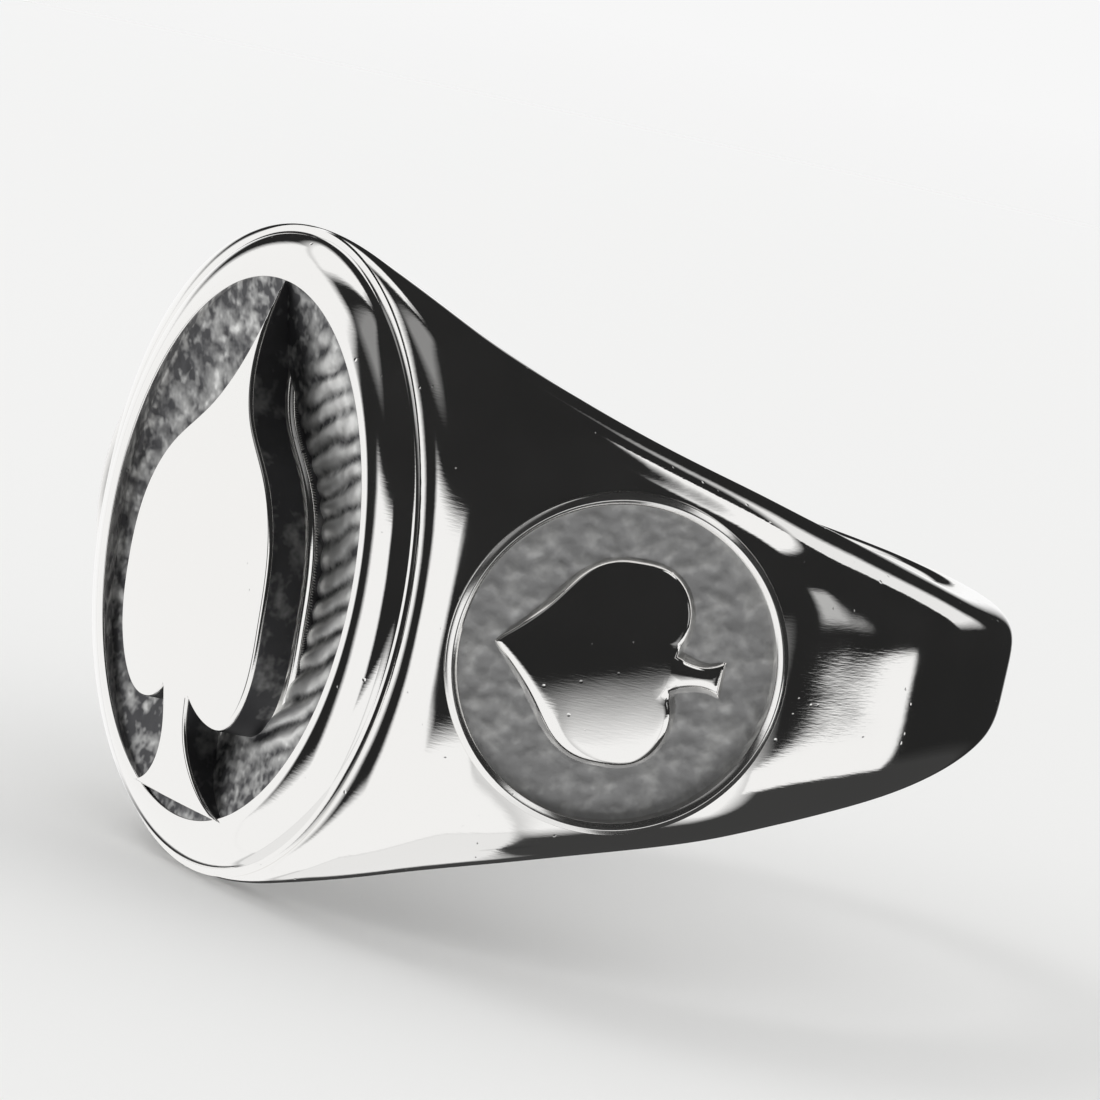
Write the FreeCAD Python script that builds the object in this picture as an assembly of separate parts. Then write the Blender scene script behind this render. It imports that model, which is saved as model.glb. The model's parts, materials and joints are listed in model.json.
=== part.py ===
"""Signet ring: an oval head with a raised spade, and a round spade medallion on each shoulder.

Frame: the origin is the centre of the finger bore and +Z runs along the finger, towards the
spade's tip. The face looks along -Y, and +X is the right shoulder. Millimetres throughout.
"""
import FreeCAD, Part
import math
import os
from FreeCAD import Vector

# finger bore and shank
bore_radius = 9.9            # US size 10
back_radius = 11.6           # outside of the shank at the back
back_half_width = 2.05
shoulder_half_x = 12.20      # section beside the bore's axis, where head and shank meet
shoulder_half_z = 4.40
shoulder_round = 5.0         # superellipse power of that section
inner_limit = 7.9            # the shank's sections close here, well inside the bore

# head, measured outwards from the bore's axis
table_level = 11.0           # flat top of the body, where the rim stands
table_x = 7.75
table_z = 8.95
recess_x = 5.85              # oval opening of the face
recess_z = 7.30
rim_width = 1.45
rim_foot = 0.25              # upright wall at the rim's foot
rim_height = 0.85
rim_land = 0.15              # narrow flat top of the rim, beside the recess

# sunk ground and raised spade of the face
seat_depth = 0.45            # pocket in the body under the ground plate
ground_depth = 0.78          # below the rim's top, at the middle
ground_dish_radius = 40.0
dome_rise = 1.10             # the spade's top above the rim, at the middle
dome_radius = 25.4
spade_half_width = 3.35
spade_stem_foot_z = -6.95

# shoulder medallions
medallion_tilt = math.radians(25)    # of the medallion's normal, from +X towards the face
medallion_plane = 12.3               # from the bore's axis to the shoulder's flat
medallion_offset = 1.4               # of the centre along that flat, towards the head
medallion_radius = 4.50
medallion_rim_width = 0.32
medallion_rim_proud = 0.12
medallion_seat = 0.75
medallion_ground_depth = 0.42
medallion_spade_proud = 0.06
medallion_spade_half_width = 2.92
medallion_spade_tip = 3.45           # from the medallion's centre, towards the head
medallion_spade_foot = -3.10

SAMPLES = 16                 # steps along each arc of the body's sections


def at(x, z, level):
    """A point at height level above the bore's axis, towards the face."""
    return Vector(x, -level, z)


def blend(a, b, t):
    return a + (b - a) * t


def arc(half_a, half_b, power, start, end, place):
    """Curve of a superellipse between two directions from its centre; place() puts (a, b) in space."""
    points = []
    for i in range(SAMPLES + 1):
        direction = blend(start, end, i / SAMPLES)
        c = math.cos(direction)
        s = math.sin(direction)
        reach = (abs(c) ** power + abs(s) ** power) ** (-1 / power)
        points.append(place(half_a * reach * c, half_b * reach * s))
    curve = Part.BSplineCurve()
    curve.interpolate(points)
    return curve.toShape()


def corner_direction(half_a, power):
    """Direction from the centre in which the section crosses the shank's inner limit."""
    u = inner_limit / half_a
    return math.atan2((1 - u ** power) ** (1 / power), u)


def slice_wire(level, half_x, half_z, power):
    """Closed superellipse of the body, cut parallel to the face, in four arcs."""
    corner = corner_direction(shoulder_half_x, shoulder_round)
    turns = [-corner, corner, math.pi - corner, math.pi + corner, 2 * math.pi - corner]
    edges = []
    for start, end in zip(turns, turns[1:]):
        edges.append(arc(half_x, half_z, power, start, end, lambda x, z: at(x, z, level)))
    return Part.Wire(edges)


def shank_wire(angle, radius, half_width):
    """Section of the shank in the radial plane at an angle below +X, closed inside the bore."""

    def place(r, z):
        return at(r * math.cos(angle), z, -r * math.sin(angle))

    corner = corner_direction(radius, shoulder_round)
    outside = arc(radius, half_width, shoulder_round, -corner, corner, place)
    inside = Part.makeLine(outside.valueAt(outside.LastParameter), outside.valueAt(outside.FirstParameter))
    return Part.Wire([outside, inside])


def head_and_shoulders():
    """The oval table spreads into two flat shoulders, from the face down to the bore's axis."""
    power = shoulder_round
    levels = [
        (0.0, shoulder_half_x, shoulder_half_z, power),
        (2.5, 12.12, 5.15, power),
        (5.0, 11.22, 5.90, power),
        (7.0, 10.32, 6.60, 4.6),
        (9.0, 9.36, 7.65, 3.3),
        (10.2, 8.68, 8.50, 2.4),
        (table_level, table_x, table_z, 2.0),
    ]
    wires = [slice_wire(*level) for level in levels]
    return Part.makeLoft(wires, True, False)


def shank():
    """Half round of the shank, from one side of the bore round the back to the other."""
    stations = [
        (0, shoulder_half_x, shoulder_half_z),
        (15, 12.12, 3.60),
        (35, 11.90, 2.70),
        (60, 11.70, 2.20),
        (90, back_radius, back_half_width),
    ]
    stations = stations + [(180 - a, r, w) for a, r, w in reversed(stations[:-1])]
    wires = []
    for angle, radius, half_width in stations:
        wires.append(shank_wire(math.radians(angle), radius, half_width))
    return Part.makeLoft(wires, True, False)


def oval(half_x, half_z, level):
    """Edge of an oval parallel to the face, its long axis along the finger."""
    ellipse = Part.Ellipse(at(0, half_z, level), at(half_x, 0, level), at(0, 0, level))
    return ellipse.toShape()


def oval_prism(half_x, half_z, low, high):
    face = Part.Face(Part.Wire([oval(half_x, half_z, low)]))
    return face.extrude(Vector(0, low - high, 0))


def ring_body():
    """The solid ring, with the finger bore and the seats for the face and the medallions."""
    body = head_and_shoulders().fuse(shank())
    bore = Part.makeCylinder(bore_radius, 4 * table_z, Vector(0, 0, -2 * table_z), Vector(0, 0, 1))
    body = body.cut(bore)
    body = body.cut(oval_prism(recess_x, recess_z, table_level - seat_depth, table_level + 1))
    for side in (1, -1):
        body = body.cut(medallion_cylinder(side, medallion_radius, -medallion_seat, 3))
    return body


def head_rim():
    """Oval frame: an upright foot, a rounded slope and a narrow flat top round the recess."""
    foot_top = table_level + rim_foot
    top = table_level + rim_height
    outer_x = recess_x + rim_width
    outer_z = recess_z + rim_width
    foot = oval_prism(outer_x, outer_z, table_level, foot_top)
    swell = 0.45 * rim_width
    steps = [
        (outer_x, outer_z, foot_top),
        (outer_x - swell, outer_z - swell, blend(foot_top, top, 0.72)),
        (recess_x + rim_land, recess_z + rim_land, top),
    ]
    slope = Part.makeLoft([Part.Wire([oval(*step)]) for step in steps], True, False)
    rim = foot.fuse(slope).removeSplitter()
    return rim.cut(oval_prism(recess_x, recess_z, table_level - 1, top + 1))


def head_ground():
    """Plate let into the body, with a shallow dished top below the rim."""
    top = table_level + rim_height
    plate = oval_prism(recess_x, recess_z, table_level - seat_depth, top)
    centre = at(0, 0, top - ground_depth + ground_dish_radius)
    return plate.cut(Part.makeSphere(ground_dish_radius, centre))


def head_spade_half():
    """Right half of the face's spade: hollow flank, lobe and flared stem.

    Each run holds its (across, along) points and its directions at the first and the last of them.
    """
    wide = spade_half_width
    widest = (wide, -1.20)
    cusp = (0.62, -3.95)
    flank = [(0.0, recess_z), (0.26, 5.20), (1.06, 3.60), (2.30, 2.36), (wide - 0.20, 0.75), widest]
    lobe = [widest, (3.05, -3.45), (2.05, -4.52), cusp]
    stem = [cusp, (0.60, -5.00), (1.10, -6.15), (2.40, spade_stem_foot_z)]
    return [
        (flank, (0.03, -1), (0, -1)),
        (lobe, (0, -1), (-0.8, 1)),
        (stem, (-0.1, -1), (1, -0.15)),
    ]


def medallion_spade_half():
    """Half of a medallion's spade: blunt tip, full flank, low lobe and short stem."""
    widest = (medallion_spade_half_width, -0.30)
    cusp = (0.58, -1.75)
    flank = [(0.0, medallion_spade_tip), (0.50, 3.02), (1.50, 2.08), (2.45, 1.30), (2.85, 0.55), widest]
    lobe = [widest, (2.75, -1.15), (2.10, -1.78), (1.20, -1.95), cusp]
    stem = [cusp, (0.50, -2.20), (0.62, -2.75), (0.92, medallion_spade_foot)]
    return [
        (flank, (1, -0.4), (0, -1)),
        (lobe, (0, -1), (-0.8, 0.5)),
        (stem, (-0.1, -1), (1, -0.8)),
    ]


def spade_face(half, place):
    """Flat spade face: its half outline mirrored about the spade's axis, and placed."""
    origin = place(0, 0)
    edges = []
    for points, start, end in half:
        for side in (1, -1):
            curve = Part.BSplineCurve()
            curve.interpolate(
                [place(side * x, z) for x, z in points],
                InitialTangent=place(side * start[0], start[1]) - origin,
                FinalTangent=place(side * end[0], end[1]) - origin,
            )
            edges.append(curve.toShape())
    last_run = half[-1][0]
    foot_x, foot_z = last_run[-1]
    edges.append(Part.makeLine(place(foot_x, foot_z), place(-foot_x, foot_z)))
    return Part.Face(Part.Wire(Part.__sortEdges__(edges)))


def head_spade(ground):
    """Raised spade: upright walls from the ground to a shallow domed top, let into the rim."""
    low = table_level
    high = table_level + rim_height + 2 * dome_rise
    flat = spade_face(head_spade_half(), lambda x, z: at(x, z, low))
    prism = flat.extrude(Vector(0, low - high, 0))
    prism = prism.common(oval_prism(recess_x, recess_z, low, high))
    crown = table_level + rim_height + dome_rise
    dome = Part.makeSphere(dome_radius, at(0, 0, crown - dome_radius))
    return prism.common(dome).cut(ground)


def medallion_frame(side):
    """Centre, outward normal and the direction towards the head, of one shoulder's medallion."""
    c = math.cos(medallion_tilt)
    s = math.sin(medallion_tilt)
    normal = Vector(side * c, -s, 0)
    headward = Vector(-side * s, -c, 0)
    centre = normal * medallion_plane + headward * medallion_offset
    return centre, normal, headward


def medallion_cylinder(side, radius, low, high):
    """Round disc on a shoulder between two heights over its flat."""
    centre, normal, _ = medallion_frame(side)
    return Part.makeCylinder(radius, high - low, centre + normal * low, normal)


def medallion_rim(side):
    """Thin raised wire round the medallion, with a rounded top."""
    outer = medallion_cylinder(side, medallion_radius, -medallion_seat, medallion_rim_proud)
    inner_radius = medallion_radius - medallion_rim_width
    ring = outer.cut(medallion_cylinder(side, inner_radius, -medallion_seat - 1, medallion_rim_proud + 1))
    centre, normal, _ = medallion_frame(side)
    top_edges = []
    for edge in ring.Edges:
        height = (edge.CenterOfMass - centre).dot(normal)
        if edge.Closed and abs(height - medallion_rim_proud) < 1e-6:
            top_edges.append(edge)
    return ring.makeFillet(0.4 * medallion_rim_width, top_edges)


def medallion_ground(side):
    """Sunk disc inside the medallion's rim."""
    radius = medallion_radius - medallion_rim_width
    return medallion_cylinder(side, radius, -medallion_seat, -medallion_ground_depth)


def medallion_spade(side):
    """Small spade standing on the sunk disc, its tip towards the head."""
    centre, normal, headward = medallion_frame(side)
    origin = centre - normal * medallion_ground_depth
    across = Vector(0, 0, side)
    flat = spade_face(medallion_spade_half(), lambda x, z: origin + across * x + headward * z)
    return flat.extrude(normal * (medallion_ground_depth + medallion_spade_proud))


def build():
    ground = head_ground()
    parts = {
        "ring_body": ring_body(),
        "head_rim": head_rim(),
        "head_ground": ground,
        "head_spade": head_spade(ground),
    }
    for name, side in (("right", 1), ("left", -1)):
        parts[name + "_medallion_rim"] = medallion_rim(side)
        parts[name + "_medallion_ground"] = medallion_ground(side)
        parts[name + "_medallion_spade"] = medallion_spade(side)
    return parts


os.makedirs("parts", exist_ok=True)
for node, shape in build().items():
    shape.exportStep("parts/" + node + ".step")
    print(node, shape.ShapeType, len(shape.Solids), shape.isValid(), round(shape.Volume, 2))
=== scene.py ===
import json
import math

import bpy
import numpy as np
from mathutils import Matrix, Vector
from mathutils.geometry import delaunay_2d_cdt


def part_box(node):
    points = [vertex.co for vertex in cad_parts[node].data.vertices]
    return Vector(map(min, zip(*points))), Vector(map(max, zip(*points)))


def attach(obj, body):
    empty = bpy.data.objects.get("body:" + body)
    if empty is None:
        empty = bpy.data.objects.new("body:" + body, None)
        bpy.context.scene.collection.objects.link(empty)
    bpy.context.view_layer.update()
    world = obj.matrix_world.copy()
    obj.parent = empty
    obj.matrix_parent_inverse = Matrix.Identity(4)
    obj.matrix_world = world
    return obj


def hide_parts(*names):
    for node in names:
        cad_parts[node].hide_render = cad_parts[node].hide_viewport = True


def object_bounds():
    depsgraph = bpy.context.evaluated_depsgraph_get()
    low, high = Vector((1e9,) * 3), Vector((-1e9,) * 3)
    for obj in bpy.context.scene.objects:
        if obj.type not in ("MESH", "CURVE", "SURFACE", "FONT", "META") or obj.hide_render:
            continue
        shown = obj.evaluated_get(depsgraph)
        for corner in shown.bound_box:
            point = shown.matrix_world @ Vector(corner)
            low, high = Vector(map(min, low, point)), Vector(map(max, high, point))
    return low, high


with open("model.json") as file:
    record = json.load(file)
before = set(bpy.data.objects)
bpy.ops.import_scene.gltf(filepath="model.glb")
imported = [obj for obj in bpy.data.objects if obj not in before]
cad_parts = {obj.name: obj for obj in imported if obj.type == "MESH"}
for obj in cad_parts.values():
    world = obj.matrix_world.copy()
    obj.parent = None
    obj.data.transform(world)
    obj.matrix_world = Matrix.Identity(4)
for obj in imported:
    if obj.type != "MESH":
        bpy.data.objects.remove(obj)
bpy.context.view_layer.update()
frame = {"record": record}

# --- Ring body --------------------------------------------------------------------------------
# One casting in sterling silver: the oval table of the head, both shoulders and the shank.
# It is filed, sanded and buffed on a wheel, so every edge is a little round and the surface
# mirrors the room with a faint waviness, a few pits and fine wheel scratches.
MM = 0.001


def box_of(node):
    """Lowest and highest corners of a CAD piece, in millimetres to the nearest hundredth."""
    return [[round(value / MM, 2) for value in corner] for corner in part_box(node)]


bore_radius = frame["record"]["mounts"][0]["dims"]["r_mm"]
rim_low, rim_high = box_of("head_rim")
table_level = -rim_high[1]       # the table's height above the bore's axis
table_edge_round = 0.55
bore_edge_round = 0.40

# (height above the bore's axis, half width, half length along the finger, squareness)
head_stations = [
    (0.0, 12.20, 4.40, 5.0),
    (2.5, 12.12, 5.15, 5.0),
    (5.0, 11.22, 5.90, 5.0),
    (7.0, 10.32, 6.60, 4.6),
    (9.0, 9.40, 7.65, 3.3),
    (10.2, 8.72, 8.50, 2.4),
    (table_level, 7.85, 8.95, 2.0),
]
# (degrees round towards the back, outside radius, half width along the finger)
shank_stations = [
    (120, 11.70, 2.20),
    (90, 11.60, 2.05),
    (60, 11.70, 2.20),
    (35, 11.90, 2.70),
    (15, 12.12, 3.60),
]
shank_squareness = 5.0
mean_radius = 12.0               # turns the shank's angles into lengths along its wall


def smooth_curve(knots, values):
    """Natural cubic spline through the values, as a function of an array."""
    x = np.array(knots, float)
    y = np.array(values, float)
    h = np.diff(x)
    last = len(x) - 1
    system = np.zeros((last + 1, last + 1))
    right = np.zeros(last + 1)
    system[0, 0] = system[last, last] = 1
    for i in range(1, last):
        system[i, i - 1:i + 2] = h[i - 1], 2 * (h[i - 1] + h[i]), h[i]
        right[i] = 6 * ((y[i + 1] - y[i]) / h[i] - (y[i] - y[i - 1]) / h[i - 1])
    bend = np.linalg.solve(system, right)

    def curve(t):
        t = np.clip(t, x[0], x[-1])
        i = np.clip(np.searchsorted(x, t) - 1, 0, last - 1)
        up = t - x[i]
        down = x[i + 1] - t
        return (
            (bend[i] * down ** 3 + bend[i + 1] * up ** 3) / (6 * h[i])
            + (y[i] / h[i] - bend[i] * h[i] / 6) * down
            + (y[i + 1] / h[i] - bend[i + 1] * h[i] / 6) * up
        )

    return curve


wall = [(-mean_radius * math.radians(a), r, w, shank_squareness) for a, r, w in shank_stations]
wall += head_stations
half_width, half_length, squareness = [
    smooth_curve([w[0] for w in wall], [w[k] for w in wall]) for k in (1, 2, 3)
]


def soft_max(a, b, size):
    """The larger of two fields, with the edge between them rounded."""
    near = np.maximum(size - np.abs(a - b), 0) / size
    return np.maximum(a, b) + near * near * size / 4


def body_field(x, n, z):
    """Rough distance outside the body; n is the height above the bore's axis."""
    across = np.abs(x)
    radius = np.hypot(x, n)
    along = np.where(n >= 0, n, -mean_radius * np.arctan2(-n, across))
    reach = np.where(n >= 0, across, radius)
    a = half_width(along)
    b = half_length(along)
    p = squareness(along)
    u = reach / a
    w = np.abs(z) / b
    q = (u ** p + w ** p + 1e-12) ** (1 / p)
    steepness = np.sqrt((u ** (p - 1) / a) ** 2 + (w ** (p - 1) / b) ** 2) * q ** (1 - p)
    skin = (q - 1) / np.maximum(steepness, 0.02)
    outside = soft_max(skin, n - table_level, table_edge_round)
    return soft_max(outside, bore_radius - radius, bore_edge_round)


def crossing(field, low, high):
    """Where a field along a line turns positive, between two arrays of limits."""
    for _ in range(40):
        middle = (low + high) / 2
        inside = field(middle) < 0
        low = np.where(inside, middle, low)
        high = np.where(inside, high, middle)
    return (low + high) / 2


def body_normal(x, n, z):
    """Outward normals of the body, in the row frame."""
    e = 0.002
    gradient = np.stack([
        body_field(x + e, n, z) - body_field(x - e, n, z),
        body_field(x, n - e, z) - body_field(x, n + e, z),
        body_field(x, n, z + e) - body_field(x, n, z - e),
    ], axis=-1)
    return gradient / np.linalg.norm(gradient, axis=-1, keepdims=True)


fine_turn = 84                   # degrees each side of the face with close sections
fine_sections = 265
back_sections = 109
ray_count = 720                  # found round each section, then thinned to the points below
section_points = 196
least_radius = 10.2              # the surface is looked for between these limits
most_radius = 14.0
least_width = 0.2
most_width = 12.0
most_reach = 1.9                 # in half sizes of the section
turns = np.radians(np.concatenate([
    np.linspace(-fine_turn, fine_turn, fine_sections),
    np.linspace(fine_turn, 360 - fine_turn, back_sections)[1:-1],
]))[:, None]
rays = np.linspace(-math.pi, math.pi, ray_count, endpoint=False)[None, :]
side = np.sin(turns)
front = np.cos(turns)
outside_radius = crossing(
    lambda r: body_field(r * side, r * front, 0 * r),
    np.full_like(turns, least_radius), np.full_like(turns, most_radius),
)
core = (bore_radius + outside_radius) / 2
thickness = (outside_radius - bore_radius) / 2
width = crossing(
    lambda z: body_field(core * side, core * front, z),
    np.full_like(turns, least_width), np.full_like(turns, most_width),
)


def ray_point(t):
    return core + thickness * t * np.cos(rays), width * t * np.sin(rays)


def ray_field(t):
    r, z = ray_point(t)
    return body_field(r * side, r * front, z)


every_ray = turns + rays
section_r, section_z = ray_point(crossing(
    ray_field, np.zeros_like(every_ray), np.full_like(every_ray, most_reach),
))
corner_weight = 0.9              # millimetres of extra length given to each radian of turning
profile = []
for r, z in zip(section_r, section_z):
    step_r = np.roll(r, -1) - r
    step_z = np.roll(z, -1) - z
    heading = np.arctan2(step_z, step_r)
    turning = np.abs((np.roll(heading, -1) - heading + math.pi) % (2 * math.pi) - math.pi)
    weight = np.hypot(step_r, step_z) + corner_weight * (turning + np.roll(turning, 1)) / 2
    place = np.concatenate([[0], np.cumsum(weight)])
    wanted = np.linspace(0, place[-1], section_points, endpoint=False)
    profile.append(np.stack([
        np.interp(wanted, place, np.append(r, r[0])),
        np.interp(wanted, place, np.append(z, z[0])),
    ]))
profile = np.array(profile)
body_x = profile[:, 0] * side
body_n = profile[:, 0] * front
body_z = profile[:, 1]

medallion_tilt = math.radians(25)
medallion_plane = 12.3           # from the bore's axis to the medallion's face
medallion_offset = 1.4           # of its centre along that plane, towards the head
medallion_radius = box_of("right_medallion_rim")[1][2]
medallion_wire = 0.32
pocket_depth = 0.75
skin_below = 1.6                 # only points this near the medallion's plane are on the shoulder
skin_above = 1.5
seam_gap = 0.08                  # from the pocket's edge to the rings of points beside it
beside_pocket = 1.0              # points moved to the outer ring lie within this of the medallion
settling_steps = 12


def medallion_axes(sign):
    """Centre, outward normal and headward direction of a shoulder's medallion, as (x, n, z)."""
    c = math.cos(medallion_tilt)
    s = math.sin(medallion_tilt)
    normal = np.array([sign * c, s, 0])
    headward = np.array([-sign * s, c, 0])
    return normal * medallion_plane + headward * medallion_offset, normal, headward


def beside(mask):
    """A mask of grid points, grown by one point all round."""
    grown = mask.copy()
    for i in (-1, 0, 1):
        for j in (-1, 0, 1):
            grown |= np.roll(mask, (i, j), (0, 1))
    return grown


# the points next to each pocket's edge move onto two rings, so that the edge is a clean circle
points = np.stack([body_x, body_n, body_z], axis=-1)
pockets = []
for sign in (1, -1):
    centre, normal, headward = medallion_axes(sign)
    offset = points - centre
    height = offset @ normal
    flat = np.stack([offset @ headward, offset[..., 2]], axis=-1)
    radius = np.linalg.norm(flat, axis=-1)
    seam = medallion_radius - medallion_wire / 2
    skin = (height > -skin_below) & (height < skin_above)
    inside = (radius < seam) & skin
    outer = beside(inside) & ~inside & skin & (radius < medallion_radius + beside_pocket)
    inner = beside(~inside) & inside
    for mask, ring in ((outer, seam + seam_gap), (inner, seam - seam_gap)):
        scale = (ring / radius[mask])[:, None]
        moved = centre + headward * flat[mask][:, :1] * scale + height[mask][:, None] * normal
        moved[:, 2] = (flat[mask][:, 1:] * scale)[:, 0]
        for _ in range(settling_steps):
            gap = body_field(*moved.T)
            moved -= normal * gap[:, None]
        points[mask] = moved
    pockets.append((inside, normal))

# then the points inside sink to the pocket's floor
normals = body_normal(points[..., 0], points[..., 1], points[..., 2])
for inside, normal in pockets:
    sign = 1 if normal[0] > 0 else -1
    centre = medallion_axes(sign)[0]
    sunk = points[inside]
    sunk -= normal * ((sunk - centre) @ normal + pocket_depth)[:, None]
    points[inside] = sunk
    normals[inside] = normal * (1, -1, 1)


def grid_faces(rows, columns):
    """Quads of a closed grid that joins up in both directions."""
    i, j = np.meshgrid(np.arange(rows), np.arange(columns), indexing="ij")
    i2 = (i + 1) % rows
    j2 = (j + 1) % columns
    corners = [i * columns + j, i2 * columns + j, i2 * columns + j2, i * columns + j2]
    return np.stack(corners, axis=-1).reshape(-1, 4)


def make_piece(name, xnz, faces, normals=None):
    """Mesh object from (x, height, z) points in millimetres, and normals if they are known."""
    places = np.array(xnz, float).reshape(-1, 3) * (MM, -MM, MM)
    mesh = bpy.data.meshes.new(name)
    mesh.from_pydata(places.tolist(), [], [tuple(f) for f in faces])
    mesh.shade_smooth()
    if normals is not None:
        mesh.normals_split_custom_set_from_vertices(np.asarray(normals).reshape(-1, 3).tolist())
    piece = bpy.data.objects.new(name, mesh)
    bpy.context.scene.collection.objects.link(piece)
    return piece


def hex_colour(code):
    """Linear RGBA of an sRGB hex colour."""
    parts = [int(code[i:i + 2], 16) / 255 for i in (1, 3, 5)]
    return [c / 12.92 if c <= 0.04045 else ((c + 0.055) / 1.055) ** 2.4 for c in parts] + [1]


def add_node(tree, kind, inputs=None, **settings):
    """A node with its settings; each input is a value or a socket to link from."""
    node = tree.nodes.new(kind)
    for key, value in settings.items():
        setattr(node, key, value)
    for key, value in (inputs or {}).items():
        if isinstance(value, bpy.types.NodeSocket):
            tree.links.new(value, node.inputs[key])
        else:
            node.inputs[key].default_value = value
    return node


def map_range(tree, value, low, high, out_low=0.0, out_high=1.0):
    """Socket with a value mapped from one range to another, and held inside it."""
    ends = {"From Min": low, "From Max": high, "To Min": out_low, "To Max": out_high}
    return add_node(tree, "ShaderNodeMapRange", {"Value": value, **ends}).outputs[0]


def maths_in(tree):
    """Function that adds maths nodes to a tree and gives their sockets."""
    def maths(operation, *values):
        node = add_node(tree, "ShaderNodeMath", dict(enumerate(values)), operation=operation)
        return node.outputs[0]

    return maths


def buffed_silver(name, least_haze, most_haze):
    """Sterling silver buffed bright: neutral, with pits, wheel scratches and slow waves.

    The pits and scratches are drawn coarser than real ones, so that they show at this size.
    """
    material = bpy.data.materials.new(name)
    material.use_nodes = True
    tree = material.node_tree
    tree.nodes.clear()
    place = add_node(tree, "ShaderNodeTexCoord").outputs["Object"]
    waves = add_node(tree, "ShaderNodeTexNoise",
                     {"Vector": place, "Scale": 1 / (1.6 * MM), "Detail": 1.5, "Roughness": 0.4})
    stretched = add_node(tree, "ShaderNodeMapping",
                         {"Vector": place, "Scale": (1, 1, 7), "Rotation": (0.3, 0.5, 0)})
    scratches = add_node(tree, "ShaderNodeTexNoise",
                         {"Vector": stretched.outputs[0], "Scale": 1 / (0.35 * MM), "Detail": 4})
    grain = add_node(tree, "ShaderNodeTexVoronoi", {"Vector": place, "Scale": 1 / (0.55 * MM)})
    pits = map_range(tree, grain.outputs["Distance"], 0.0, 0.10, 1.0, 0.0)
    wavy = add_node(tree, "ShaderNodeBump",
                    {"Height": waves.outputs[0], "Strength": 1.0, "Distance": 0.010 * MM})
    scratched = add_node(tree, "ShaderNodeBump",
                         {"Height": scratches.outputs[0], "Strength": 1.0, "Distance": 0.0009 * MM,
                          "Normal": wavy.outputs[0]})
    pitted = add_node(tree, "ShaderNodeBump",
                      {"Height": pits, "Strength": 0.6, "Distance": 0.007 * MM,
                       "Normal": scratched.outputs[0]}, invert=True)
    haze = map_range(tree, waves.outputs[0], 0.3, 0.7, least_haze, most_haze)
    shader = add_node(tree, "ShaderNodeBsdfPrincipled",
                      {"Base Color": hex_colour("#F1F0EE"), "Metallic": 1.0,
                       "Roughness": haze, "Normal": pitted.outputs[0]})
    add_node(tree, "ShaderNodeOutputMaterial", {"Surface": shader.outputs[0]})
    return material


# a near mirror: white and black shapes with crisp edges that waver a little
silver = buffed_silver("buffed_sterling_silver", 0.035, 0.075)
body = make_piece("ring_casting", points, grid_faces(len(turns), section_points), normals)
body.data.materials.append(silver)
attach(body, "root")
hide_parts("ring_body")

# --- Moulded rim of the face --------------------------------------------------------------------
# A silver moulding stands on the table and frames the sunk face: a narrow land beside the
# recess, a soft slope and a flared foot. It is part of the casting, buffed bright, and its inner
# edge is crisp where the face was cut out.
recess_x = box_of("head_ground")[1][0]
recess_z = box_of("head_ground")[1][2]
rim_width = round(rim_high[0] - recess_x, 2)
rim_height = round(-rim_low[1] - table_level, 2)
rim_land = 0.20                  # flat strip beside the recess
rim_foot = 0.12                  # height at which the slope flares out over the table
rim_flare = 0.21                 # width of that flare
rim_lip = 0.02                   # thickness of the flare's outer edge
rim_root = 0.2                   # depth of the section under the table
inner_round = 0.04
inner_round_steps = 4
rim_steps = 288                  # sections round the oval


def run_through(places, start, end, count):
    """Smooth plane curve through some points, leaving and arriving in given directions."""
    p = np.array(places, float)
    start = np.array(start, float) / np.hypot(*start)
    end = np.array(end, float) / np.hypot(*end)
    h = np.hypot(*np.diff(p, axis=0).T)
    knots = np.concatenate([[0], np.cumsum(h)])
    last = len(p) - 1
    system = np.zeros((last + 1, last + 1))
    system[0, 0] = system[last, last] = 1
    right = np.zeros_like(p)
    right[0] = start
    right[last] = end
    for i in range(1, last):
        system[i, i - 1:i + 2] = h[i], 2 * (h[i - 1] + h[i]), h[i - 1]
        before = (p[i] - p[i - 1]) / h[i - 1]
        after = (p[i + 1] - p[i]) / h[i]
        right[i] = 3 * (h[i] * before + h[i - 1] * after)
    slopes = np.linalg.solve(system, right)
    t = np.linspace(0, knots[-1], count, endpoint=False)
    i = np.clip(np.searchsorted(knots, t, side="right") - 1, 0, last - 1)
    u = ((t - knots[i]) / h[i])[:, None]
    k = h[i][:, None]
    return (
        (2 * u ** 3 - 3 * u ** 2 + 1) * p[i] + (u ** 3 - 2 * u ** 2 + u) * k * slopes[i]
        + (3 * u ** 2 - 2 * u ** 3) * p[i + 1] + (u ** 3 - u ** 2) * k * slopes[i + 1]
    )


def moulding_profile():
    """Outline of the moulding's section: (outwards from the recess, above the table)."""
    outline = [(0, -rim_root), (0, rim_height - inner_round)]
    for k in range(1, inner_round_steps + 1):
        a = math.pi / 2 * k / inner_round_steps
        out = inner_round * (1 - math.cos(a))
        outline.append((out, rim_height - inner_round * (1 - math.sin(a))))
    foot = (rim_width - rim_flare, rim_foot)
    slope = [(rim_land, rim_height), (0.38, 0.81), (0.96, 0.51), foot]
    outline += run_through(slope, (1, -0.05), (0.3, -1), 26).tolist()
    outline += run_through([foot, (rim_width - 0.05, 0.03)], (0.5, -1), (1, -0.2), 8).tolist()
    outline += [(rim_width, rim_lip), (rim_width, -rim_root)]
    return outline


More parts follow.
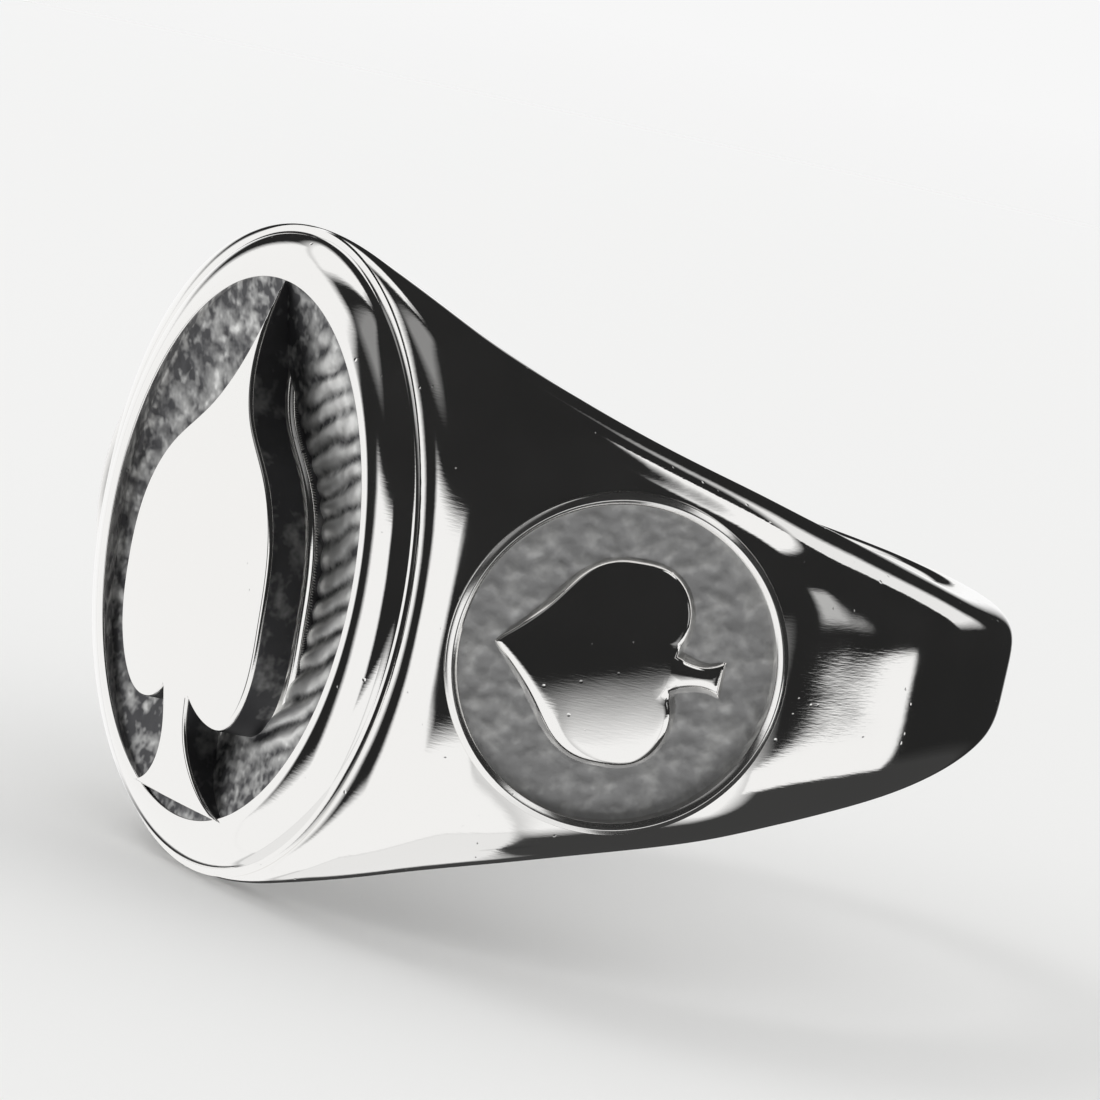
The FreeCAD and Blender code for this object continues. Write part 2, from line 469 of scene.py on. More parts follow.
def sweep_tree():
    """Node tree that sweeps a section round an oval in the plane of the face."""
    tree = bpy.data.node_groups.new("sweep_round_oval", "GeometryNodeTree")
    face = tree.interface
    face.new_socket("Section", in_out="INPUT", socket_type="NodeSocketGeometry")
    for name in ("Half Width", "Half Length", "Level"):
        face.new_socket(name, in_out="INPUT", socket_type="NodeSocketFloat")
    face.new_socket("Steps", in_out="INPUT", socket_type="NodeSocketInt")
    face.new_socket("Metal", in_out="INPUT", socket_type="NodeSocketMaterial")
    face.new_socket("Piece", in_out="OUTPUT", socket_type="NodeSocketGeometry")
    given = add_node(tree, "NodeGroupInput").outputs
    circle = add_node(tree, "GeometryNodeCurvePrimitiveCircle",
                      {"Resolution": given["Steps"], "Radius": 1.0})
    scale = add_node(tree, "ShaderNodeCombineXYZ",
                     {"X": given["Half Width"], "Y": given["Half Length"], "Z": 1.0})
    place = add_node(tree, "GeometryNodeInputPosition")
    oval = add_node(tree, "ShaderNodeVectorMath", {0: place.outputs[0], 1: scale.outputs[0]},
                    operation="MULTIPLY")
    path = add_node(tree, "GeometryNodeSetPosition",
                    {"Geometry": circle.outputs[0], "Position": oval.outputs[0]})
    swept = add_node(tree, "GeometryNodeCurveToMesh",
                     {"Curve": path.outputs[0], "Profile Curve": given["Section"], "Fill Caps": False})
    lift = add_node(tree, "ShaderNodeCombineXYZ", {"Z": given["Level"]})
    raised = add_node(tree, "GeometryNodeTransform",
                      {"Geometry": swept.outputs[0], "Translation": lift.outputs[0]})
    turned = add_node(tree, "GeometryNodeTransform",
                      {"Geometry": raised.outputs[0], "Rotation": (math.pi / 2, 0, 0)})
    real = add_node(tree, "GeometryNodeRealizeInstances", {"Geometry": turned.outputs[0]})
    finished = add_node(tree, "GeometryNodeSetMaterial",
                        {"Geometry": real.outputs[0], "Material": given["Metal"]})
    add_node(tree, "NodeGroupOutput", {"Piece": finished.outputs[0]})
    return tree


def run_nodes(name, base, tree, values):
    """Plain mesh object from a base object put through a geometry node tree."""
    modifier = base.modifiers.new("nodes", "NODES")
    modifier.node_group = tree
    sockets = {s.name: s.identifier for s in tree.interface.items_tree if s.in_out == "INPUT"}
    for key, value in values.items():
        modifier[sockets[key]] = value
    bpy.context.view_layer.update()
    evaluated = base.evaluated_get(bpy.context.evaluated_depsgraph_get())
    mesh = bpy.data.meshes.new_from_object(evaluated)
    mesh.name = name
    bpy.data.objects.remove(base)
    piece = bpy.data.objects.new(name, mesh)
    bpy.context.scene.collection.objects.link(piece)
    return piece


def section_curve(name, outline):
    """Closed flat curve in millimetres from (outwards, upwards) points."""
    curve = bpy.data.curves.new(name, "CURVE")
    curve.dimensions = "2D"
    curve.fill_mode = "NONE"
    line = curve.splines.new("POLY")
    line.points.add(len(outline) - 1)
    for point, (out, up) in zip(line.points, outline):
        point.co = (out * MM, -up * MM, 0, 1)
    line.use_cyclic_u = True
    base = bpy.data.objects.new(name, curve)
    bpy.context.scene.collection.objects.link(base)
    return base


def set_sharp(piece, degrees):
    """Smooth shading that stays crisp across edges steeper than an angle."""
    piece.data.shade_smooth()
    piece.data.set_sharp_from_angle(angle=math.radians(degrees))


sweep = sweep_tree()
moulding = section_curve("moulding_section", moulding_profile())
rim = run_nodes("face_moulding", moulding, sweep, {
    "Half Width": recess_x * MM,
    "Half Length": recess_z * MM,
    "Level": table_level * MM,
    "Steps": rim_steps,
    "Metal": silver,
})
set_sharp(rim, 50)
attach(rim, "root")
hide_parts("head_rim")

# --- Sunk ground of the face ----------------------------------------------------------------------
# The ground round the spade is dished and cut by hand with slanting graver strokes, then
# blackened with sulphide. Buffing takes the black off the high spots again.
rim_top = table_level + rim_height
ground_depth = 0.78              # below the rim's top, at the middle
ground_dish = 40.0               # radius of the dished surface
ground_floor = 10.80
stroke_pitch = 0.62
stroke_slant = math.radians(28)
stroke_height = 0.09
stroke_start = 1.0               # distance from the spade's axis at which the strokes begin
stroke_rise = 1.2                # and over which they reach their full height
stroke_foot = -5.2               # they fade out below this place along the finger
stroke_fade = 1.0
stroke_margin = 0.10             # and near the rim, as a part of the oval's size
faint_side = 0.25                # on the left half only faint strokes are left
wander_size = 1.3
grit_size = 0.30
grit_height = 0.045
plate_spacing = 0.10
plate_inset = 0.06
row_step = 0.866                 # between rows of a staggered grid, in spacings


def oval_grid(half_x, half_z, spacing, inset):
    """Points that fill an oval: its edge and a staggered grid inside."""
    count = int(2 * math.pi * math.sqrt(half_x * half_z) / spacing)
    turn = np.linspace(0, 2 * math.pi, count, endpoint=False)
    edge = np.stack([half_x * np.cos(turn), half_z * np.sin(turn)], axis=-1)
    rows = np.arange(-half_z, half_z, spacing * row_step)
    columns = np.arange(-half_x, half_x, spacing)
    x, z = np.meshgrid(columns, rows)
    x = x + (np.arange(len(rows)) % 2)[:, None] * spacing / 2
    keep = (x / (half_x - inset)) ** 2 + (z / (half_z - inset)) ** 2 < 1
    return np.concatenate([edge, np.stack([x[keep], z[keep]], axis=-1)])


def triangles_of(flat):
    """Delaunay triangles of points in the plane of the face."""
    found = delaunay_2d_cdt([Vector(p) for p in flat.tolist()], [], [], 0, 1e-7)
    places = np.array([tuple(p) for p in found[0]])
    return places, np.array([f for f in found[2] if len(f) == 3])


def close_below(flat, level, faces, floor):
    """Closed solid under a height field, down to a flat floor."""
    count = len(flat)
    top = np.stack([flat[:, 0], level, flat[:, 1]], axis=-1)
    bottom = np.stack([flat[:, 0], np.full(count, floor), flat[:, 1]], axis=-1)
    corner = flat[faces]
    area = np.cross(corner[:, 1] - corner[:, 0], corner[:, 2] - corner[:, 0])
    faces = np.where((area > 0)[:, None], faces, faces[:, ::-1])
    edges = np.concatenate([faces[:, [0, 1]], faces[:, [1, 2]], faces[:, [2, 0]]])
    known = set(map(tuple, edges.tolist()))
    border = [(a, b) for a, b in known if (b, a) not in known]
    solid = faces.tolist() + (faces[:, ::-1] + count).tolist()
    solid += [(b, a, a + count, b + count) for a, b in border]
    return np.concatenate([top, bottom]), solid


def cut_ground_tree():
    """Node tree that dishes a flat plate, cuts slanting strokes in it and roughens it.

    It keeps how far each point was rubbed bright in the attribute "rubbed".
    """
    tree = bpy.data.node_groups.new("cut_ground", "GeometryNodeTree")
    face = tree.interface
    face.new_socket("Plate", in_out="INPUT", socket_type="NodeSocketGeometry")
    for name in ("Dish Radius", "Pitch", "Slant", "Stroke Height", "Grit Size", "Grit Height", "Seed"):
        face.new_socket(name, in_out="INPUT", socket_type="NodeSocketFloat")
    face.new_socket("Metal", in_out="INPUT", socket_type="NodeSocketMaterial")
    face.new_socket("Piece", in_out="OUTPUT", socket_type="NodeSocketGeometry")
    given = add_node(tree, "NodeGroupInput").outputs
    maths = maths_in(tree)
    place = add_node(tree, "GeometryNodeInputPosition").outputs[0]
    parts = add_node(tree, "ShaderNodeSeparateXYZ", {0: place}).outputs
    room = add_node(tree, "GeometryNodeInputNamedAttribute", {"Name": "room"}).outputs[0]
    upper = add_node(tree, "GeometryNodeInputNamedAttribute", {"Name": "upper"}).outputs[0]
    across = maths("ABSOLUTE", parts["X"])

    # strokes climb outwards on both sides of the spade, each a little off its pitch
    wander = add_node(tree, "ShaderNodeTexNoise",
                      {"Vector": place, "W": given["Seed"], "Scale": 1 / (wander_size * MM),
                       "Detail": 1.0}, noise_dimensions="4D").outputs[0]
    climb = maths("SUBTRACT",
                  maths("MULTIPLY", parts["Z"], maths("COSINE", given["Slant"])),
                  maths("MULTIPLY", across, maths("SINE", given["Slant"])))
    stray = maths("MULTIPLY", maths("SUBTRACT", wander, 0.5), given["Pitch"])
    strokes = maths("DIVIDE", maths("ADD", climb, stray), given["Pitch"])
    wave = maths("SINE", maths("MULTIPLY", strokes, 2 * math.pi))
    hump = maths("POWER", maths("MULTIPLY_ADD", wave, 0.5, 0.5), 0.5)
    hump = maths("MULTIPLY", hump, room)

    scale = maths("DIVIDE", 1.0, given["Grit Size"])
    grit = add_node(tree, "ShaderNodeTexNoise",
                    {"Vector": place, "W": given["Seed"], "Scale": scale, "Detail": 2.5,
                     "Roughness": 0.6}, noise_dimensions="4D").outputs[0]
    lift = maths("ADD", maths("MULTIPLY", hump, given["Stroke Height"]),
                 maths("MULTIPLY", maths("SUBTRACT", grit, 0.5), given["Grit Height"]))
    square = maths("ADD", maths("MULTIPLY", parts["X"], parts["X"]),
                   maths("MULTIPLY", parts["Z"], parts["Z"]))
    dish = maths("DIVIDE", square, maths("MULTIPLY", given["Dish Radius"], 2.0))
    out = maths("MULTIPLY", maths("ADD", lift, dish), upper)
    offset = add_node(tree, "ShaderNodeCombineXYZ", {"Y": maths("MULTIPLY", out, -1.0)}).outputs[0]
    moved = add_node(tree, "GeometryNodeSetPosition",
                     {"Geometry": given["Plate"], "Offset": offset})
    rubbed = maths("MAXIMUM", hump, map_range(tree, grit, 0.45, 0.75, 0.0, 0.8))
    kept = add_node(tree, "GeometryNodeStoreNamedAttribute",
                    {"Geometry": moved.outputs[0], "Name": "rubbed", "Value": rubbed},
                    data_type="FLOAT", domain="POINT")
    real = add_node(tree, "GeometryNodeRealizeInstances", {"Geometry": kept.outputs[0]})
    finished = add_node(tree, "GeometryNodeSetMaterial",
                        {"Geometry": real.outputs[0], "Material": given["Metal"]})
    add_node(tree, "NodeGroupOutput", {"Piece": finished.outputs[0]})
    return tree


rubbed_dullness = 0.42


def blackened_silver(name, tone, dullness):
    """Sulphide-blackened sterling silver: matt and dark in the cuts, bright where rubbed.

    Its crystals and patches are drawn coarser than real ones, so that they show at this size.
    """
    material = bpy.data.materials.new(name)
    material.use_nodes = True
    tree = material.node_tree
    tree.nodes.clear()
    place = add_node(tree, "ShaderNodeTexCoord").outputs["Object"]
    rubbed = add_node(tree, "ShaderNodeAttribute", attribute_name="rubbed").outputs["Fac"]
    patches = add_node(tree, "ShaderNodeTexNoise",
                       {"Vector": place, "Scale": 1 / (0.9 * MM), "Detail": 3.0,
                        "Roughness": 0.65}).outputs[0]
    cover = maths_in(tree)("MULTIPLY_ADD", rubbed, 0.75, patches)
    bright = map_range(tree, cover, 0.52, 1.15)
    colour = add_node(tree, "ShaderNodeMix",
                      {"Factor": bright, "A": hex_colour(tone), "B": hex_colour("#F4F4F2")},
                      data_type="RGBA").outputs["Result"]
    dull = map_range(tree, bright, 0.0, 1.0, dullness, rubbed_dullness)
    crystals = add_node(tree, "ShaderNodeTexNoise",
                        {"Vector": place, "Scale": 1 / (0.16 * MM), "Detail": 3.0}).outputs[0]
    rough = add_node(tree, "ShaderNodeBump",
                     {"Height": crystals, "Strength": 1.0, "Distance": 0.004 * MM}).outputs[0]
    shader = add_node(tree, "ShaderNodeBsdfPrincipled",
                      {"Base Color": colour, "Metallic": 1.0, "Roughness": dull, "Normal": rough})
    add_node(tree, "ShaderNodeOutputMaterial", {"Surface": shader.outputs[0]})
    return material


def point_attribute(piece, name, values):
    """Stores a number for each point of a piece, for its node tree to read."""
    layer = piece.data.attributes.new(name, "FLOAT", "POINT")
    layer.data.foreach_set("value", np.asarray(values, np.float32))


# dark and mottled, with a dull sheen, and pale crests where the strokes were rubbed
oxidised = blackened_silver("sulphide_blackened_silver", "#58585A", 0.42)
cut_ground = cut_ground_tree()
plate, plate_faces = triangles_of(oval_grid(recess_x, recess_z, plate_spacing, plate_inset))
plate_level = np.full(len(plate), rim_top - ground_depth)
ground_points, ground_faces = close_below(plate, plate_level, plate_faces, ground_floor)
ground_base = make_piece("ground_plate", ground_points, ground_faces)
plate_x = ground_points[:, 0]
plate_z = ground_points[:, 2]
reach = np.hypot(plate_x / recess_x, plate_z / recess_z)
crescent = np.clip((np.abs(plate_x) - stroke_start) / stroke_rise, 0, 1)
crescent *= np.clip((1 - reach) / stroke_margin, 0, 1)
crescent *= np.clip((plate_z - stroke_foot) / stroke_fade, 0, 1)
crescent *= np.where(plate_x > 0, 1.0, faint_side)
point_attribute(ground_base, "room", crescent)
point_attribute(ground_base, "upper", np.arange(len(ground_points)) < len(plate))
ground = run_nodes("face_ground", ground_base, cut_ground, {
    "Dish Radius": ground_dish * MM,
    "Pitch": stroke_pitch * MM,
    "Slant": stroke_slant,
    "Stroke Height": stroke_height * MM,
    "Grit Size": grit_size * MM,
    "Grit Height": grit_height * MM,
    "Seed": 3.0,
    "Metal": oxidised,
})
set_sharp(ground, 60)
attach(ground, "root")
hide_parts("head_ground")

# --- Raised spade of the face ---------------------------------------------------------------------
# The spade is left standing from the cut ground. Its top is one shallow dome, buffed to a
# mirror, with softened edges; its steep walls keep their black, but for a thin bright ledge.
dome_rise = 1.10                 # over the rim, at the middle of the face
dome_radius = 25.4
spade_edge_round = 0.10
# how far the wall has fallen at a distance outside the edge, with the ledge part way down
wall_spread = [0.0, 0.05, 0.09, 0.12, 0.15, 0.24, 0.27, 0.31, 0.38]
wall_fall = [0.0, 0.55, 0.94, 1.04, 1.065, 1.10, 1.22, 1.55, 1.85]
ledge = (0.085, 0.25)            # distances outside the edge between which the wall is bright
spade_tip = recess_z + 0.2       # a little past the recess, so that the tip runs into the rim
spade_foot = -6.95
outline_step = 0.07
inner_spacing = 0.20


def mirrored_outline(runs, foot):
    """Closed outline from the runs of its right half, from the tip down to the foot."""
    half = np.concatenate(runs)
    return np.concatenate([half, [(0.0, foot)], half[1:][::-1] * (-1, 1)])


def spade_outline(step):
    """Closed outline of the face's spade, as (x, z) points about a step apart."""
    widest = (3.36, -1.20)
    notch = (0.62, -3.95)
    corner = (2.35, spade_foot)
    flank = [(0.0, spade_tip), (0.24, 5.20), (1.06, 3.60), (2.30, 2.36), (3.15, 0.75), widest]
    lobe = [widest, (3.08, -3.35), (2.05, -4.50), notch]
    stem = [notch, (0.58, -5.00), (1.05, -6.15), corner]
    return mirrored_outline([
        run_through(flank, (0.03, -1), (0, -1), int(9.5 / step)),
        run_through(lobe, (0, -1), (-0.8, 1), int(5.6 / step)),
        run_through(stem, (-0.1, -1), (1, -0.15), int(3.7 / step)),
        np.linspace(corner, (0, spade_foot), int(corner[0] / step), endpoint=False),
    ], spade_foot)


def distance_inside(outline, places):
    """Distance from the outline, positive inside it."""
    a = outline
    b = np.roll(outline, -1, axis=0)
    d = b - a
    length = (d ** 2).sum(axis=1)
    found = []
    for block in np.array_split(places, max(1, len(places) // 2000)):
        w = block[:, None, :] - a[None]
        t = np.clip((w * d).sum(axis=2) / length, 0, 1)
        gap = np.hypot(*np.moveaxis(w - t[..., None] * d, 2, 0)).min(axis=1)
        over = (a[None, :, 1] > block[:, None, 1]) != (b[None, :, 1] > block[:, None, 1])
        rise = np.where(d[:, 1] == 0, 1e-9, d[:, 1])
        at = a[:, 0] + (block[:, None, 1] - a[:, 1]) * d[:, 0] / rise
        inside = ((over & (block[:, None, 0] < at)).sum(axis=1) % 2) == 1
        found.append(np.where(inside, gap, -gap))
    return np.concatenate(found)


def figure_points(outline, rings, spacing):
    """Points over a figure: rings beside its outline, and a staggered grid inside."""
    ahead = np.roll(outline, -1, axis=0) - np.roll(outline, 1, axis=0)
    ahead /= np.hypot(*ahead.T)[:, None]
    turn = np.roll(outline, -1, axis=0) - outline
    clockwise = (outline[:, 0] * turn[:, 1] - outline[:, 1] * turn[:, 0]).sum() < 0
    inward = np.stack([ahead[:, 1], -ahead[:, 0]], axis=-1) * (1 if clockwise else -1)
    sets = [outline]
    for ring in rings:
        # a ring leaves out the points that come too near another part of the outline
        shifted = outline + inward * ring
        true = distance_inside(outline, shifted)
        sets.append(shifted[np.abs(true - ring) < 0.12 * abs(ring) + 0.002])
    low = outline.min(axis=0)
    high = outline.max(axis=0)
    columns = np.arange(low[0], high[0], spacing)
    rows = np.arange(low[1], high[1], spacing * row_step)
    x, z = np.meshgrid(columns, rows)
    x = x + (np.arange(x.shape[0]) % 2)[:, None] * spacing / 2
    grid = np.stack([x.ravel(), z.ravel()], axis=-1)
    sets.append(grid[distance_inside(outline, grid) > max(rings) + spacing * 0.4])
    return np.concatenate(sets)


def raised_figure(name, outline, rings, spacing, height, floor, ledge):
    """Closed solid of a figure whose top and walls follow a height over its plane.

    Its top is buffed silver; the walls under it keep their black, except on the ledge.
    """
    flat, faces = triangles_of(figure_points(outline, rings, spacing))
    middle = flat[faces].mean(axis=1)
    faces = faces[distance_inside(outline, middle) > min(rings)]
    used = np.unique(faces)
    renumber = np.full(len(flat), -1)
    renumber[used] = np.arange(len(used))
    flat = flat[used]
    faces = renumber[faces]
    solid, solid_faces = close_below(flat, height(flat), faces, floor)
    e = 0.004
    slope_x = (height(flat + (e, 0)) - height(flat - (e, 0))) / (2 * e)
    slope_z = (height(flat + (0, e)) - height(flat - (0, e))) / (2 * e)
    normals = np.stack([-slope_x, -np.ones(len(flat)), -slope_z], axis=-1)
    normals /= np.linalg.norm(normals, axis=1)[:, None]
    below = np.tile([0.0, 1.0, 0.0], (len(flat), 1))
    piece = make_piece(name, solid, solid_faces, np.concatenate([normals, below]))
    piece.data.materials.append(silver)
    piece.data.materials.append(oxidised)
    outwards = -distance_inside(outline, flat[faces].mean(axis=1))
    sunk = (outwards > 0) & ((outwards < ledge[0]) | (outwards > ledge[1]))
    for face, dark in zip(piece.data.polygons, sunk.tolist()):
        face.material_index = int(dark)
    return piece


spade_line = spade_outline(outline_step)


def rounded(distance, size):
    """How far an edge of some radius falls at a distance from it."""
    left = np.clip(1 - distance / size, 0, 1)
    return size * (1 - np.sqrt(1 - left * left))


def spade_height(flat):
    """Height of the face's spade above the bore's axis, over (x, z) places."""
    x, z = flat.T
    distance = distance_inside(spade_line, flat)
    square = x * x + z * z
    crown = rim_top + dome_rise - square / (2 * dome_radius)
    top = crown - rounded(np.maximum(distance, 0), spade_edge_round)
    lip = crown - spade_edge_round
    return np.where(distance > 0, top, lip - np.interp(-distance, wall_spread, wall_fall))


# rings of points that carry the wall and the softened edge, by their distance inside it
spade_rings = (
    -0.38, -0.31, -0.27, -0.24, -0.20, -0.15, -0.12, -0.09, -0.05, -0.02,
    0.004, 0.015, 0.035, 0.065, 0.105, 0.18,
)
spade = raised_figure("face_spade", spade_line, spade_rings, inner_spacing,
                      spade_height, ground_floor, ledge)
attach(spade, "root")
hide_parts("head_spade")

# --- Shoulder medallions ----------------------------------------------------------------------------
# A thin round wire, worn to a soft ridge, frames a sunk and blackened disc on each shoulder. The
# small spade on it points to the face and has a low dome and bevelled edges. All are cast with
# the ring, and the wire and the spade are buffed.
disc_depth = 0.42
disc_floor = -pocket_depth - 0.02
disc_under_wire = 0.03           # the disc's edge goes this far under the wire
disc_grit_size = 0.5
disc_grit_height = 0.10
flat_dish = 1000.0               # a radius so large that the disc is as good as flat
wire_steps = 160
small_proud = 0.06               # of the spade's top over the medallion, at its middle
small_dome = 14.0
small_buried = 0.05              # of the spade's foot, under the disc
small_tip = 3.45
small_end = -3.10
small_step = 0.06
small_spacing = 0.15
small_ledge = (0.0, 0.03)        # the wall is bright just under the bevel only
# how far the small spade's bevelled edge has fallen at a distance inside its outline
bevel = smooth_curve([0, 0.12, 0.24, 0.34, 0.46, 0.62], [0.40, 0.245, 0.09, 0.028, 0.005, 0])
small_foot = 0.16                # width of the slope below the bevel


def wire_profile():
    """Section of the medallion's wire, worn to a soft ridge: (outwards, above the medallion)."""
    half = [(0, -pocket_depth), (0, -0.03), (0.012, -0.012), (0.140, 0.096), (0.152, 0.102)]
    return half + [(medallion_wire - out, up) for out, up in reversed(half)]


def to_shoulder(piece, sign):
    """Moves a piece made in the face's plane to a shoulder's medallion."""
    centre, normal, headward = [Vector((v[0], -v[1], v[2])) for v in medallion_axes(sign)]
    axes = Matrix((Vector((0, 0, sign)), -normal, headward)).transposed().to_4x4()
    piece.data.transform(Matrix.Translation(centre * MM) @ axes)
    return piece


def small_spade_outline(step):
    """Closed outline of a medallion's spade: blunt tip, full flank, low lobe, short stem."""
    widest = (2.92, -0.30)
    notch = (0.58, -1.75)
    corner = (0.92, small_end)
    flank = [(0.0, small_tip), (0.50, 3.02), (1.50, 2.08), (2.45, 1.30), (2.85, 0.55), widest]
    lobe = [widest, (2.75, -1.15), (2.10, -1.78), (1.20, -1.95), notch]
    stem = [notch, (0.50, -2.20), (0.62, -2.75), corner]
    return mirrored_outline([
        run_through(flank, (1, -0.4), (0, -1), int(5.3 / step)),
        run_through(lobe, (0, -1), (-0.8, 0.5), int(3.4 / step)),
        run_through(stem, (-0.1, -1), (1, -0.8), int(1.5 / step)),
        np.linspace(corner, (0, small_end), int(corner[0] / step), endpoint=False),
    ], small_end)


small_line = small_spade_outline(small_step)
# worn by handling: broad, soft highlights along the wire
satin = buffed_silver("worn_satin_sterling_silver", 0.12, 0.20)
# rubbed back further than the face: an even, matt mid grey
greyed = blackened_silver("rubbed_blackened_silver", "#C2C2C2", 0.58)


def small_height(flat):
    """Height of a medallion's spade above the medallion, over places in its plane."""
    x, z = flat.T
    distance = distance_inside(small_line, flat)
    crown = small_proud - (x * x + z * z) / (2 * small_dome)
    top = crown - bevel(np.maximum(distance, 0))
    lip = crown - bevel(0.0)
    fallen = np.clip(1 + distance / small_foot, 0, 1) ** 2
    foot = -disc_depth - small_buried
    return np.where(distance > 0, top, foot + (lip - foot) * fallen)


small_rings = (
    -0.16, -0.11, -0.06, -0.03, -0.01, 0.005, 0.02, 0.06, 0.11, 0.16,
    0.21, 0.25, 0.29, 0.34, 0.40, 0.47, 0.56,
)
wire_radius = medallion_radius - medallion_wire
disc_radius = wire_radius + disc_under_wire
disc, disc_faces = triangles_of(oval_grid(disc_radius, disc_radius, plate_spacing, plate_inset))
disc_level = np.full(len(disc), -disc_depth)
disc_points, disc_solid = close_below(disc, disc_level, disc_faces, disc_floor)
for side_name, sign in (("right", 1), ("left", -1)):
    section = section_curve("wire_section", wire_profile())
    wire = run_nodes(side_name + "_medallion_wire", section, sweep, {
        "Half Width": wire_radius * MM,
        "Half Length": wire_radius * MM,
        "Level": 0.0,
        "Steps": wire_steps,
        "Metal": satin,
    })
    set_sharp(wire, 60)
    disc_base = make_piece("disc_plate", disc_points, disc_solid)
    point_attribute(disc_base, "room", np.zeros(len(disc_points)))
    point_attribute(disc_base, "upper", np.arange(len(disc_points)) < len(disc))
    disc_piece = run_nodes(side_name + "_medallion_disc", disc_base, cut_ground, {
        "Dish Radius": flat_dish * MM,
        "Pitch": stroke_pitch * MM,
        "Slant": stroke_slant,
        "Stroke Height": 0.0,
        "Grit Size": disc_grit_size * MM,
        "Grit Height": disc_grit_height * MM,
        "Seed": 11.0 + sign,
        "Metal": greyed,
    })
    set_sharp(disc_piece, 60)
    small = raised_figure(side_name + "_medallion_spade_relief", small_line, small_rings,
                          small_spacing, small_height, disc_floor, small_ledge)
    for piece, node, slot in (
        (wire, "_medallion_rim", "polished_silver"),
        (disc_piece, "_medallion_ground", "blackened_silver"),
        (small, "_medallion_spade", "polished_silver"),
    ):
        to_shoulder(piece, sign)
        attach(piece, "root")
        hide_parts(side_name + node)

# --- Studio -----------------------------------------------------------------------------------------
# A pale paper floor, a soft key light from the upper left, and a room of white walls and dark
# gaps. Only mirror reflections see the room, whose walls are placed for the camera's view; all
# other rays see an even pale light, so that the floor and the blackened ground stay soft.
floor_gap = 0.02                 # under the ring, so that the two don't touch
floor_reach = 900.0
fade_start = 50.0                # the paper fades into the background between these distances
fade_end = 300.0
even_light = 0.93
gap_light = 0.02                 # brightness of the dark gaps between the walls
key_place = Vector((-160.0, -100.0, 260.0))
key_size = 120.0
key_energy = 0.10
scene = bpy.context.scene
floor_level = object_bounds()[0].z - floor_gap * MM
floor_mesh = bpy.data.meshes.new("floor")
corners = [(-1, -1), (1, -1), (1, 1), (-1, 1)]
floor_mesh.from_pydata(
    [(x * floor_reach * MM, y * floor_reach * MM, floor_level) for x, y in corners],
    [], [(0, 1, 2, 3)],
)
floor = bpy.data.objects.new("floor", floor_mesh)
scene.collection.objects.link(floor)
floor.visible_glossy = False
paper = bpy.data.materials.new("pale_paper_floor")
paper.use_nodes = True
tree = paper.node_tree
tree.nodes.clear()
place = add_node(tree, "ShaderNodeTexCoord").outputs["Object"]
far = add_node(tree, "ShaderNodeVectorMath", {0: place}, operation="LENGTH").outputs["Value"]
fade = map_range(tree, far, fade_start * MM, fade_end * MM)
sheet = add_node(tree, "ShaderNodeBsdfDiffuse", {"Color": hex_colour("#F0F0EF")})
clear = add_node(tree, "ShaderNodeBsdfTransparent")
blend = add_node(tree, "ShaderNodeMixShader",
                 {0: fade, 1: sheet.outputs[0], 2: clear.outputs[0]})
add_node(tree, "ShaderNodeOutputMaterial", {"Surface": blend.outputs[0]})
floor_mesh.materials.append(paper)

room = bpy.data.worlds.new("room")
scene.world = room
room.use_nodes = True
tree = room.node_tree
tree.nodes.clear()
maths = maths_in(tree)
rest_tilt = math.radians(17)     # the room stands square to the ring as it would lie on a table
look = add_node(tree, "ShaderNodeTexCoord").outputs["Generated"]
turned = add_node(tree, "ShaderNodeVectorRotate",
                  {"Vector": look, "Axis": (1, 0, 0), "Angle": -rest_tilt},
                  rotation_type="AXIS_ANGLE").outputs[0]
parts = add_node(tree, "ShaderNodeSeparateXYZ", {0: turned}).outputs
to_degrees = 180 / math.pi
bearing = maths("ARCTAN2", parts["X"], maths("MULTIPLY", parts["Y"], -1.0))
azimuth = maths("MULTIPLY", bearing, to_degrees)
elevation = maths("MULTIPLY", maths("ARCSINE", parts["Z"]), to_degrees)


def window(value, low_edge, high_edge, soft):
    """One between two angles, nought outside them, with a soft edge in degrees."""
    rise = map_range(tree, value, low_edge - soft, low_edge + soft)
    fall = map_range(tree, value, high_edge - soft, high_edge + soft, 1.0, 0.0)
    return maths("MULTIPLY", rise, fall)


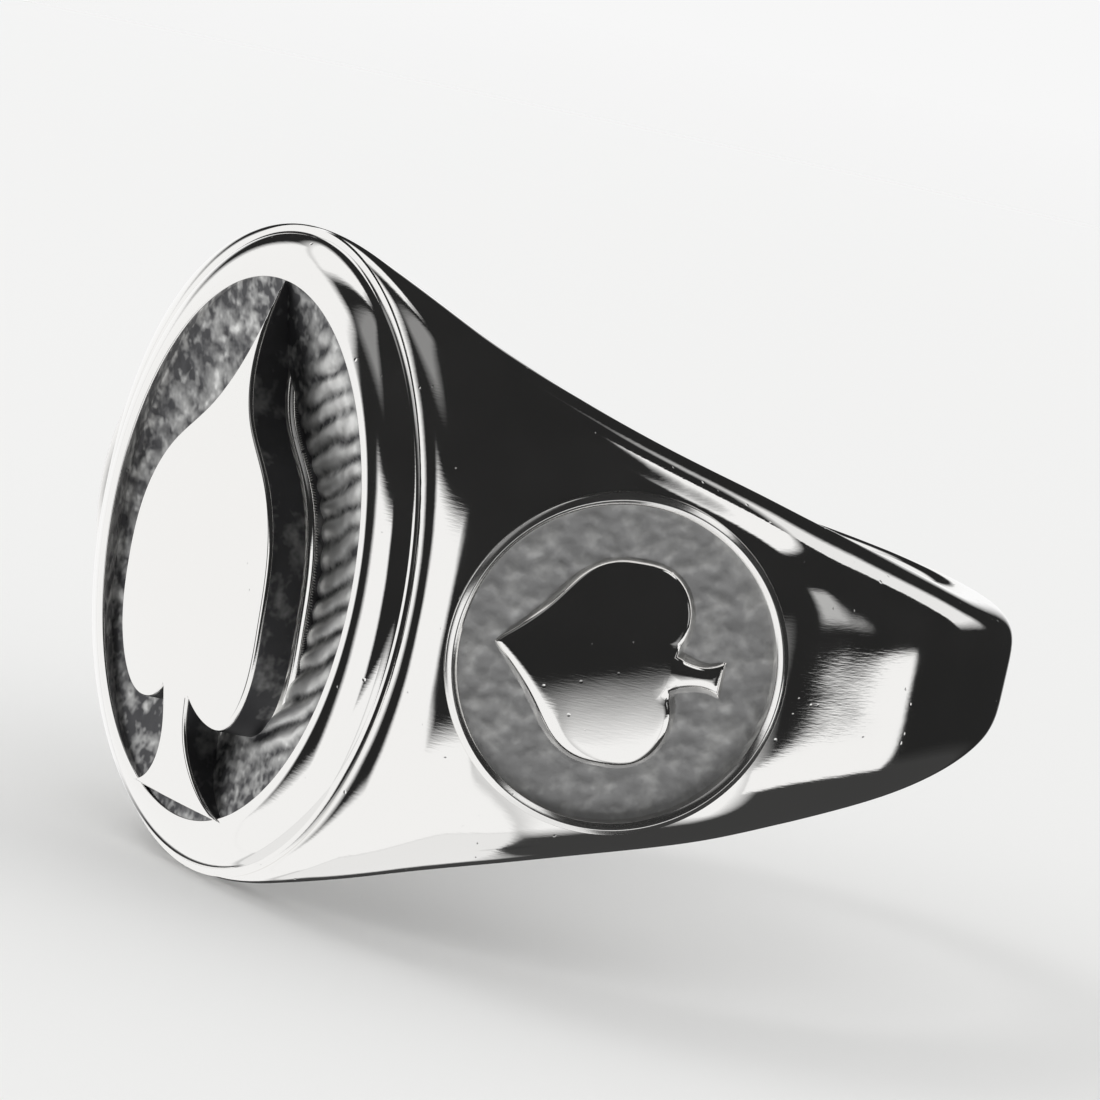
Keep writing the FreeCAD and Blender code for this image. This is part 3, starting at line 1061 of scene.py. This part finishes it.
# (azimuth from, to, elevation from, to, soft edge, brightness), with the angles in degrees
walls = [
    (-90, -34, -60, 40, 4, 1.0),
    (-110, -56, 36, 80, 5, 1.0),
    (-32, 0, 42, 80, 6, 0.28),
    (-134, -86, -25, 2, 3, 1.0),
    (-12, 27, -32, 25, 2.5, 1.0),
    (-40, 62, -62, -13, 3, 1.0),
    (-125, 62, -91, -58, 3, 0.9),
    (58, 104, -64, -15, 8, 1.0),
    (100, 150, -36, -20.5, 1, 1.0),
    (131, 182, 29, 46, 2, 1.0),
    (-182, -157, -5, 30, 3, 0.9),
    (124, 134, -13, 3, 2, 0.5),
    (-190, 190, -91, -30, 5, 0.05),
]
light = gap_light
for a0, a1, e0, e1, soft, strength in walls:
    patch = maths("MULTIPLY", window(azimuth, a0, a1, soft), window(elevation, e0, e1, soft))
    light = maths("MAXIMUM", light, maths("MULTIPLY", patch, strength))
mirrored = add_node(tree, "ShaderNodeLightPath").outputs["Is Glossy Ray"]
shown = add_node(tree, "ShaderNodeMix", {"Factor": mirrored, "A": even_light, "B": light},
                 data_type="FLOAT").outputs[0]
air = add_node(tree, "ShaderNodeBackground", {"Color": shown, "Strength": 1.0})
add_node(tree, "ShaderNodeOutputWorld", {"Surface": air.outputs[0]})

key = bpy.data.objects.new("key", bpy.data.lights.new("key", "AREA"))
key.data.shape = "DISK"
key.data.size = key_size * MM
key.data.energy = key_energy
key_turn = key_place.to_track_quat("Z", "Y").to_matrix().to_4x4()
key.matrix_world = Matrix.Translation(key_place * MM) @ key_turn
key.visible_glossy = False
scene.collection.objects.link(key)
scene.view_settings.view_transform = "Standard"

# the camera looks at the right shoulder from a little above, turned in its own plane
view_azimuth = math.radians(52.5)
view_elevation = math.radians(9.8)
view_roll = math.radians(12.2)
view_distance = 200.0
eye_right = 0.37                 # the camera's place and aim beside the line through the origin
eye_up = -3.4
aim_right = -1.0
aim_up = 0.9
sensor_width = 36.0
lens = 125.67 * 1.9              # the ring fills most of the picture
back = Vector((math.sin(view_azimuth) * math.cos(view_elevation),
               -math.cos(view_azimuth) * math.cos(view_elevation),
               math.sin(view_elevation)))
right = Vector((0, 0, 1)).cross(back).normalized()
up = back.cross(right)
right, up = (right * math.cos(view_roll) + up * math.sin(view_roll),
             up * math.cos(view_roll) - right * math.sin(view_roll))
eye = back * view_distance + right * eye_right + up * eye_up
aim = right * aim_right + up * aim_up
back = (eye - aim).normalized()
right = up.cross(back).normalized()
up = back.cross(right)
camera = bpy.data.objects.new("camera", bpy.data.cameras.new("camera"))
camera.data.sensor_width = sensor_width
camera.data.lens = lens
turn = Matrix((right, up, back)).transposed().to_4x4()
camera.matrix_world = Matrix.Translation(eye * MM) @ turn
camera.data.clip_start = 0.01
scene.collection.objects.link(camera)
scene.camera = camera

bpy.context.view_layer.update()
